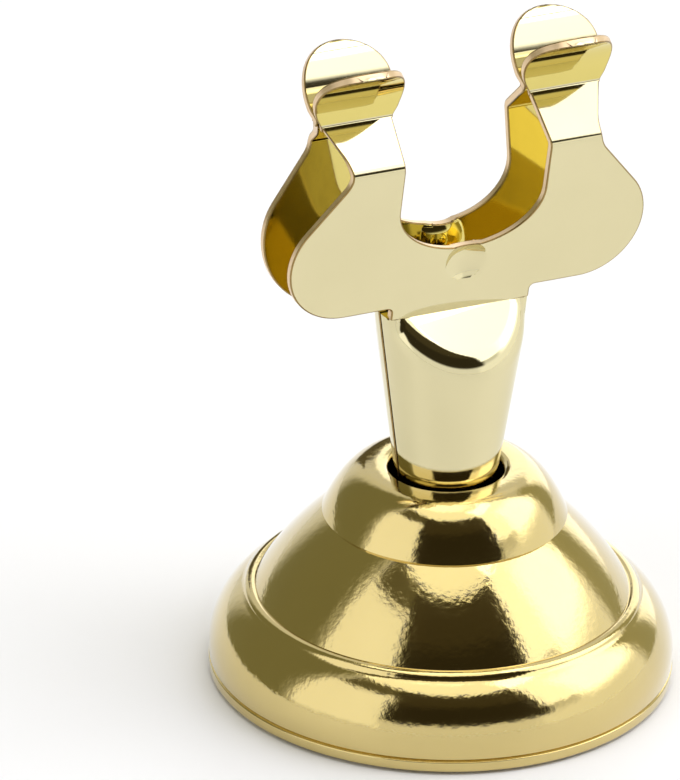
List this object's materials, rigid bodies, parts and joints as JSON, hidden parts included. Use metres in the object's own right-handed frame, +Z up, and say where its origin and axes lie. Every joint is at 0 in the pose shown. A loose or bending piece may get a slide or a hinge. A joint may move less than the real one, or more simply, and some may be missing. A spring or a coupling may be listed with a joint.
{
  "type": "place card holder",
  "caption": "Small place card holder: a bell-shaped cast foot carries a sprung clip of folded sheet leaves whose flared round tabs guide a card between the jaws.",
  "frame": {"origin": "middle of the face that the holder stands on", "axes": "+Z up, +X along the clip from arm to arm, -Y towards the front leaf"},
  "size_m": [0.0258, 0.0258, 0.0381],
  "materials": {
    "cast_gold": "bright gold plate over a casting, with a faint orange-peel ripple",
    "sheet_gold": "mirror-bright gold plate on stamped sheet",
    "washer_steel": "plain zinc-plated steel",
    "pad_rubber": "fine matt cellular rubber"
  },
  "bodies": {
    "foot": {"base_bell": "cast_gold", "base_pad": "pad_rubber", "foot_washer": "washer_steel"},
    "front_jaw": {"front_leaf": "sheet_gold"},
    "rear_jaw": {"rear_leaf": "sheet_gold"}
  },
  "joints": [
    {"name": "front_jaw_spring", "type": "hinge", "parent": "foot", "child": "front_jaw", "pos_m": [0, 0, 0.0016], "axis": [1, 0, 0], "range_deg": [0, 1.5], "stiffness_Nm_per_rad": 0.4},
    {"name": "rear_jaw_spring", "type": "hinge", "parent": "foot", "child": "rear_jaw", "pos_m": [0, 0, 0.0016], "axis": [-1, 0, 0], "range_deg": [0, 1.5], "stiffness_Nm_per_rad": 0.4}
  ]
}
